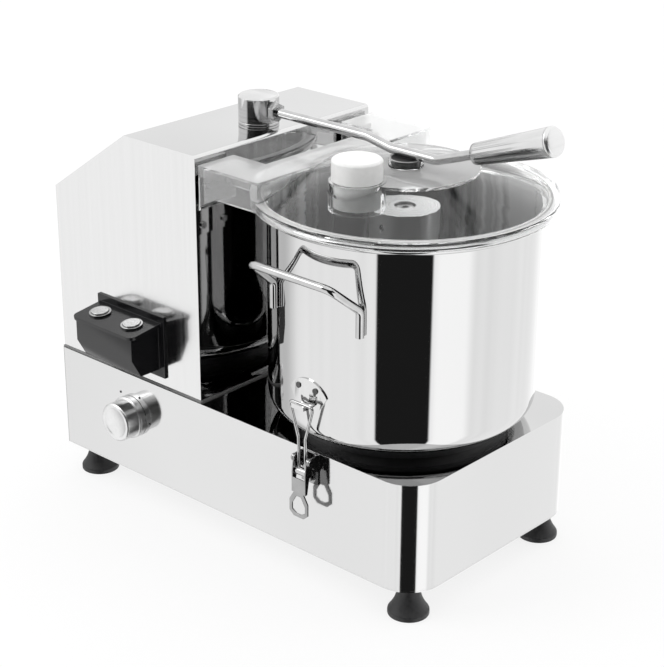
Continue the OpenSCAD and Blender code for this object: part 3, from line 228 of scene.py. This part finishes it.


def from_axis(s):
    """Object coordinates measured from the bowl's axis."""
    coords = s.node("ShaderNodeTexCoord")
    shift = s.node("ShaderNodeVectorMath", operation="SUBTRACT")
    shift.inputs[1].default_value = (BOWL_AXIS.x, BOWL_AXIS.y, 0)
    s.link(coords.outputs["Object"], shift.inputs[0])
    return shift.outputs[0]


def painted_sheen_metal(name, dark, light, rough, heading, streaks):
    """Round-polished metal with painted sheen in its base colour: bright fans of painted highlight round the
    bowl's axis, the first one at the heading in degrees, dark painted shade between them, and fine streaks
    of painted sheen, some for each radian."""
    s = Shader(name).set(Metallic=1.0)
    calc = calculator(s.tree)
    split = s.node("ShaderNodeSeparateXYZ")
    s.link(from_axis(s), split.inputs[0])
    angle = calc("ARCTAN2", split.outputs["Y"], split.outputs["X"])
    lines = s.node("ShaderNodeTexNoise", noise_dimensions="1D")
    lines.inputs["Scale"].default_value = streaks
    lines.inputs["Detail"].default_value = 2
    s.link(angle, lines.inputs["W"])
    fan_highlights = calc("COSINE", calc("MULTIPLY", calc("SUBTRACT", angle, math.radians(heading)), PAINTED_FANS))
    painted_sheen_level = calc("ADD", calc("MULTIPLY", fan_highlights, PAINTED_FAN_SHARE), lines.outputs["Fac"])
    s.tint(painted_sheen_level, (dark,) * 3, (light,) * 3)
    s.roughen(painted_sheen_level, *rough)
    return s.material


def turned_face(name, dark, light, depth, rough, ring):
    """Turned metal with fine rings round the vertical axis of the bowl, each about as wide as ring."""
    s = Shader(name).set(Metallic=1.0)
    flat = s.node("ShaderNodeVectorMath", operation="MULTIPLY")
    flat.inputs[1].default_value = (1, 1, 0)
    length = s.node("ShaderNodeVectorMath", operation="LENGTH")
    rings = s.node("ShaderNodeTexNoise", noise_dimensions="1D")
    rings.inputs["Scale"].default_value = 1 / ring
    rings.inputs["Detail"].default_value = 2
    s.link(from_axis(s), flat.inputs[0])
    s.link(flat.outputs[0], length.inputs[0])
    s.link(length.outputs["Value"], rings.inputs["W"])
    s.tint(rings.outputs["Fac"], (dark,) * 3, (light,) * 3)
    s.roughen(rings.outputs["Fac"], *rough)
    s.bump(rings.outputs["Fac"], depth)
    return s.material


# Metals: darkest and lightest level, pattern cells in a metre along x, y and z, relief, range of roughness
MIRROR = metal("mirror_steel", 0.56, 0.60, (3, 3, 1.2), 0.02 * MM, (0.02, 0.05))
WIRE = metal("polished_wire", 0.44, 0.52, (60, 60, 60), 0.004 * MM, (0.03, 0.07))
SATIN = metal("satin_sheet", 0.585, 0.605, (3, 3, 1.5), 0.02 * MM, (0.06, 0.10))
BRUSHED = metal("brushed_sheet", 0.60, 0.625, (260, 3, 3), 0.0012 * MM, (0.13, 0.20), coat=1.0)
POLISHED = metal("polished_sheet", 0.52, 0.56, (4, 4, 2), 0.02 * MM, (0.03, 0.06))
# The bowl's inside carries painted highlight fans and painted shade in its base colour
BOWL_INSIDE_PAINTED_SHEEN = painted_sheen_metal("bowl_inside_painted_sheen", 0.02, 1.00, (0.08, 0.50), heading=52, streaks=6)
# The latch steel is painted dark: a painted reflection of the dark surroundings
LATCH_PAINTED_REFLECTION = metal("latch_painted_reflection", 0.26, 0.36, (40, 40, 40), 0.01 * MM, (0.08, 0.16))
# Rivet heads are nearly black: painted shade, as if they were dark holes
RIVET_PAINTED_SHADE = metal("rivet_painted_shade", 0.07, 0.12, (60, 60, 60), 0.005 * MM, (0.15, 0.25))
GRIP = metal("grip_satin", 0.58, 0.64, (30, 30, 30), 0.002 * MM, (0.16, 0.22))
KNOB = metal("knob_satin", 0.66, 0.74, (200, 3, 200), 0.0012 * MM, (0.28, 0.40))
TURNED = metal("satin_turned", 0.56, 0.64, (20, 20, 1100), 0.0012 * MM, (0.08, 0.16))
HUB = turned_face("hub_steel", 0.60, 0.70, 0.02 * MM, (0.22, 0.36), ring=1.1 * MM)
SCREW = metal("screw_steel", 0.36, 0.50, (500, 500, 500), 0.003 * MM, (0.12, 0.25))
CASTING = metal("casting", 0.16, 0.24, (220, 220, 220), 0.05 * MM, (0.45, 0.65))

# Plastics: darkest and lightest colour, range of roughness, pattern cells in a metre, relief
PAINT = plastic("machine_paint", (0.10, 0.13, 0.17), (0.13, 0.16, 0.21), (0.35, 0.5), 180, 0.04 * MM)
RUBBER = plastic("black_rubber", (0.010, 0.010, 0.011), (0.022, 0.022, 0.023), (0.42, 0.62), 420, 0.03 * MM)
SEAL_GREY = plastic("seal_grey", (0.20, 0.20, 0.20), (0.26, 0.26, 0.26), (0.4, 0.5), 300, 0.02 * MM)
WHITE_RUBBER = plastic("white_silicone", (0.72, 0.72, 0.70), (0.82, 0.82, 0.80), (0.4, 0.55), 260, 0.02 * MM)
MATT_BLACK = plastic("matt_black", (0.012, 0.012, 0.013), (0.024, 0.024, 0.026), (0.35, 0.5), 500, 0.02 * MM)
GLOSS_BLACK = plastic("gloss_black", (0.006, 0.006, 0.007), (0.012, 0.012, 0.013), (0.14, 0.22), 900,
                      0.004 * MM, gloss=0.35)
WHITE = plastic("white_plastic", (0.86, 0.86, 0.85), (0.91, 0.91, 0.90), (0.30, 0.42), 240, 0.015 * MM)
BOARD = plastic("board_green", (0.010, 0.10, 0.04), (0.02, 0.16, 0.06), (0.25, 0.4), 300, 0.01 * MM)
# The lid's upward faces are milky white as a painted highlight; the hinge box gets painted sheen in both
CLEAR_LID_PAINTED_EAR_SHEEN = clear_plastic("clear_lid_painted_ear_sheen", haze_and_painted_sheen=0.01, ear_haze_and_painted_sheen=0.18)
CLEAR_TOP_PAINTED_SHEEN = clear_plastic("clear_lid_top_painted_sheen", haze_and_painted_sheen=0.34, ear_haze_and_painted_sheen=0.36)

FINISH = {
    "base_pan": SATIN, "bottom_cover": SATIN, "rubber_feet": RUBBER, "foot_screws": SCREW,
    "tower_shell": BRUSHED, "tower_seal": SEAL_GREY, "tower_screws": SCREW, "motor_plate": PAINT,
    "motor_body": PAINT, "motor_bolts": SCREW, "motor_shaft": TURNED, "motor_fan": MATT_BLACK,
    "fan_cowl": PAINT, "drive_pulley": TURNED, "drive_belt": RUBBER, "driven_pulley": TURNED,
    "spindle": TURNED, "spindle_bearings": TURNED, "bearing_housing": CASTING, "housing_bolts": SCREW,
    "shaft_seal": RUBBER, "bowl_seat": MATT_BLACK, "control_board": BOARD, "interlock_sensor": MATT_BLACK,
    "cable_gland": MATT_BLACK, "speed_knob": KNOB, "dial_marks": MATT_BLACK, "potentiometer": SCREW,
    "switch_box": GLOSS_BLACK, "button_bezels": WIRE, "start_button": TURNED, "stop_button": TURNED,
    "contact_blocks": MATT_BLACK, "lever_head": TURNED, "lever_nut": SCREW, "lever_rod": WIRE,
    "lever_grip": GRIP, "grip_cap": KNOB, "lever_post": TURNED, "post_bushing": TURNED, "lid": CLEAR_LID_PAINTED_EAR_SHEEN,
    "lid_gasket": WHITE_RUBBER, "lid_pad": RUBBER, "pusher": WHITE, "lid_hinge_leaves": MIRROR,
    "tower_hinge_leaves": MIRROR, "hinge_pins": SCREW, "hinge_screws": SCREW, "bowl": MIRROR,
    "bowl_handles": WIRE, "catch_plates": SATIN, "latch_bases": LATCH_PAINTED_REFLECTION, "front_latch_lever": LATCH_PAINTED_REFLECTION,
    "rear_latch_lever": LATCH_PAINTED_REFLECTION, "front_bail": WIRE, "rear_bail": WIRE, "blade_hub": HUB, "s_blades": MIRROR,
    "hub_screw": SCREW, "set_screw": MATT_BLACK,
}
for name, material in FINISH.items():
    NODES[name].data.materials.clear()
    NODES[name].data.materials.append(material)


# ---------------------------------------------------------------- refined copies of CAD nodes


def stand_in(name, mesh, node):
    """An object that is shown in place of a CAD node, on its body."""
    piece = bpy.data.objects.new(name, mesh)
    bpy.context.scene.collection.objects.link(piece)
    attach(piece, NODES[node]["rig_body"])
    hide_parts(node)
    return piece


WELD = 0.002 * MM       # vertices nearer than this are joined
COPLANAR = 0.3          # degrees between faces that count as one flat face
SHARP = 32              # degrees between faces from which their edge stays sharp


def refine(node, width, angle, other, rule):
    """A copy of a CAD node with flat faces joined up, curved ones shaded smooth and its sharp edges rounded.
    Faces that the rule picks get the other material."""
    bm = bmesh.new()
    bm.from_mesh(NODES[node].data)
    bmesh.ops.remove_doubles(bm, verts=bm.verts, dist=WELD)
    bmesh.ops.dissolve_limit(bm, angle_limit=math.radians(COPLANAR), verts=bm.verts, edges=bm.edges)
    mesh = bpy.data.meshes.new(node + "_fine")
    bm.to_mesh(mesh)
    bm.free()
    mesh.materials.append(FINISH[node])
    if other:
        mesh.materials.append(other)
        for polygon in mesh.polygons:
            polygon.material_index = int(rule(polygon))
    mesh.polygons.foreach_set("use_smooth", [True] * len(mesh.polygons))
    mesh.set_sharp_from_angle(angle=math.radians(angle))
    piece = stand_in(node + "_fine", mesh, node)
    if width:
        bevel = piece.modifiers.new("soft_edges", "BEVEL")
        bevel.width = width
        bevel.segments = 2
        bevel.limit_method = "ANGLE"
        bevel.angle_limit = math.radians(angle)
        bevel.harden_normals = True


# Width in millimetres by which each node's sharp edges are rounded
EDGES = {
    "base_pan": 1.2, "tower_shell": 1.2, "switch_box": 0.8, "lid": 0.5, "lever_head": 1.6, "lever_nut": 0.4,
    "blade_hub": 0.8, "lid_hinge_leaves": 0.3, "tower_hinge_leaves": 0.3, "catch_plates": 0.3,
    "latch_bases": 0.4, "front_latch_lever": 0.3, "rear_latch_lever": 0.3, "speed_knob": 0.5,
    "start_button": 0.4, "stop_button": 0.4, "button_bezels": 0.3, "pusher": 0.8, "lever_grip": 0.0,
    "grip_cap": 0.6, "lever_rod": 0.0, "bowl_handles": 0.0, "front_bail": 0.0, "rear_bail": 0.0,
    "bowl": 0.0, "post_bushing": 0.6, "hinge_pins": 0.0, "rubber_feet": 1.0,
}
FLAT = 0.95     # a face looks along an axis when this much of its normal, or more, lies along it


def inward(polygon):
    """True for a face of the bowl that looks at its axis."""
    out = polygon.center - BOWL_AXIS
    below_bead = polygon.center.z < BOWL_TOP - BOWL_BEAD_H
    return below_bead and polygon.normal.x * out.x + polygon.normal.y * out.y < 0


def rivet(polygon):
    """True for the rivet heads, which stand out of a catch plate above its hook."""
    out = polygon.center - BOWL_AXIS
    return math.hypot(out.x, out.y) > CATCH_SURFACE and polygon.center.z > CATCH_LOW + HOOK_H


FACES = {
    "catch_plates": (RIVET_PAINTED_SHADE, rivet),
    "tower_shell": (POLISHED, lambda polygon: max(polygon.normal.x, polygon.normal.z) > FLAT),
    "base_pan": (POLISHED, lambda polygon: polygon.normal.z > FLAT),
    "lid": (CLEAR_TOP_PAINTED_SHEEN, lambda polygon: polygon.normal.z > FLAT),
    "bowl": (BOWL_INSIDE_PAINTED_SHEEN, inward),
}
SHARP_AT = {"lid": 12}  # a lower limit keeps the edge between the dome and the flange sharp
for name, width in EDGES.items():
    refine(name, width * MM, SHARP_AT.get(name, SHARP), *FACES.get(name, (None, None)))


# ---------------------------------------------------------------- floor, light and camera

FLOOR_HALF = 14         # half the side of the floor
FLOOR_GLOW = 0.80       # share of plain white in what the camera sees of the floor


def floor():
    """A pale sheet of paper that fades into the white background."""
    bm = bmesh.new()
    bmesh.ops.create_grid(bm, x_segments=8, y_segments=8, size=FLOOR_HALF)
    mesh = bpy.data.meshes.new("floor")
    bm.to_mesh(mesh)
    bm.free()
    obj = bpy.data.objects.new("floor", mesh)
    bpy.context.scene.collection.objects.link(obj)
    s = Shader("floor_paper").set(Roughness=0.9)
    s.bsdf.inputs["Base Color"].default_value = (0.94, 0.94, 0.94, 1)
    glow = s.node("ShaderNodeEmission")
    glow.inputs["Strength"].default_value = 1.0
    mix = s.node("ShaderNodeMixShader")
    seen = s.node("ShaderNodeLightPath")
    share = s.node("ShaderNodeMath", operation="MULTIPLY")
    share.inputs[1].default_value = FLOOR_GLOW
    s.link(seen.outputs["Is Camera Ray"], share.inputs[0])
    s.link(share.outputs[0], mix.inputs["Fac"])
    s.link(s.bsdf.outputs[0], mix.inputs[1])
    s.link(glow.outputs[0], mix.inputs[2])
    s.link(mix.outputs[0], s.output.inputs["Surface"])
    mesh.materials.append(s.material)
    obj.visible_glossy = False


# Panels laid over the light tent, each on top of the ones before it:
# centre azimuth, half width, softness, lowest and highest elevation in degrees, and its level
PANELS = [
    (-8, 16, 5, -90, 90, 1.15),
    (170, 34, 14, -90, 10, 0.55),
    (-49, 64, 6, 3, 40, 0.03),
    (-49, 23, 1.2, -90, 38, 0.012),
]
TENT = 0.95             # mean level of the tent
TENT_STREAKS = 0.22     # how far the level changes round it
TENT_LEVEL = 1.34       # strength of the whole tent
STREAK_SCALE = 3.2      # streaks for each radian round the tent
PANEL_EDGE = 2          # degrees over which a panel's lower and upper edges fade, on each side


def studio():
    """White for the camera; for everything else a light tent with dark gaps."""
    world = bpy.data.worlds.new("studio")
    bpy.context.scene.world = world
    world.use_nodes = True
    nodes = world.node_tree.nodes
    link = world.node_tree.links.new
    nodes.clear()
    calc = calculator(world.node_tree)

    def step(value, low, high):
        """0 below low and 1 above high, angles in degrees. With low above high it runs the other way."""
        n = nodes.new("ShaderNodeMapRange")
        n.interpolation_type = "SMOOTHSTEP"
        link(value, n.inputs["Value"])
        n.inputs["From Min"].default_value = math.radians(low)
        n.inputs["From Max"].default_value = math.radians(high)
        return n.outputs[0]

    coords = nodes.new("ShaderNodeTexCoord")
    split = nodes.new("ShaderNodeSeparateXYZ")
    link(coords.outputs["Generated"], split.inputs[0])
    azimuth = calc("ARCTAN2", split.outputs["Y"], split.outputs["X"])
    elevation = calc("ARCSINE", split.outputs["Z"])
    streaks = nodes.new("ShaderNodeTexNoise")
    streaks.noise_dimensions = "1D"
    streaks.inputs["Scale"].default_value = STREAK_SCALE
    streaks.inputs["Detail"].default_value = 1.5
    link(azimuth, streaks.inputs["W"])
    level = calc("SUBTRACT", TENT + TENT_STREAKS / 2, calc("MULTIPLY", streaks.outputs["Fac"], TENT_STREAKS))
    for centre, half, soft, low, high, panel in PANELS:
        turn = calc("WRAP", calc("SUBTRACT", azimuth, math.radians(centre)), math.pi, -math.pi)
        mask = step(calc("ABSOLUTE", turn), half + soft, half - soft)
        mask = calc("MULTIPLY", mask, step(elevation, low - PANEL_EDGE, low + PANEL_EDGE))
        mask = calc("MULTIPLY", mask, step(elevation, high + PANEL_EDGE, high - PANEL_EDGE))
        level = calc("ADD", level, calc("MULTIPLY", mask, calc("SUBTRACT", panel, level)))
    tent = nodes.new("ShaderNodeCombineColor")
    for channel in tent.inputs:
        link(level, channel)
    around = nodes.new("ShaderNodeBackground")
    around.inputs["Strength"].default_value = TENT_LEVEL
    link(tent.outputs[0], around.inputs["Color"])
    white = nodes.new("ShaderNodeBackground")
    white.inputs["Color"].default_value = (1, 1, 1, 1)
    seen = nodes.new("ShaderNodeLightPath")
    mix = nodes.new("ShaderNodeMixShader")
    out = nodes.new("ShaderNodeOutputWorld")
    link(seen.outputs["Is Camera Ray"], mix.inputs["Fac"])
    link(around.outputs[0], mix.inputs[1])
    link(white.outputs[0], mix.inputs[2])
    link(mix.outputs[0], out.inputs["Surface"])


floor()
studio()


def lamp(name, place, aim, size, power):
    data = bpy.data.lights.new(name, "AREA")
    data.shape = "RECTANGLE"
    data.size, data.size_y = size
    data.energy = power
    obj = bpy.data.objects.new(name, data)
    bpy.context.scene.collection.objects.link(obj)
    obj.location = place
    obj.rotation_euler = (Vector(aim) - Vector(place)).to_track_quat("-Z", "Y").to_euler()


lamp("key", place=(-1.2, -1.6, 1.9), aim=(0, 0, 0.2), size=(1.4, 1.0), power=12)

YAW, PITCH, ROLL = 42.33, 22.99, 0.24       # degrees
FOCAL_PX, PHOTO_PX = 1783.1, 667            # focal length and picture height in pixels
CAMERA_AT = (1.1645, -1.2462, 0.9178)       # measured from the floor under the middle of the base


def camera():
    """The photograph's camera, solved from the machine's corners and rims."""
    yaw, pitch, roll = (math.radians(a) for a in (YAW, PITCH, ROLL))
    ahead = Vector((-math.sin(yaw) * math.cos(pitch), math.cos(yaw) * math.cos(pitch), -math.sin(pitch)))
    right = Vector((math.cos(yaw), math.sin(yaw), 0))
    up = right.cross(ahead)
    right, up = (math.cos(roll) * right + math.sin(roll) * up, math.cos(roll) * up - math.sin(roll) * right)
    data = bpy.data.cameras.new("camera")
    data.sensor_width = 36
    data.lens = FOCAL_PX * data.sensor_width / PHOTO_PX
    data.clip_end = 60
    obj = bpy.data.objects.new("camera", data)
    bpy.context.scene.collection.objects.link(obj)
    place = Vector(CAMERA_AT) + Vector((BASE_MIDDLE.x, BASE_MIDDLE.y, 0))
    obj.matrix_world = Matrix.Translation(place) @ Matrix((right, up, -ahead)).transposed().to_4x4()
    bpy.context.scene.camera = obj


camera()
bpy.context.scene.view_settings.view_transform = "Standard"
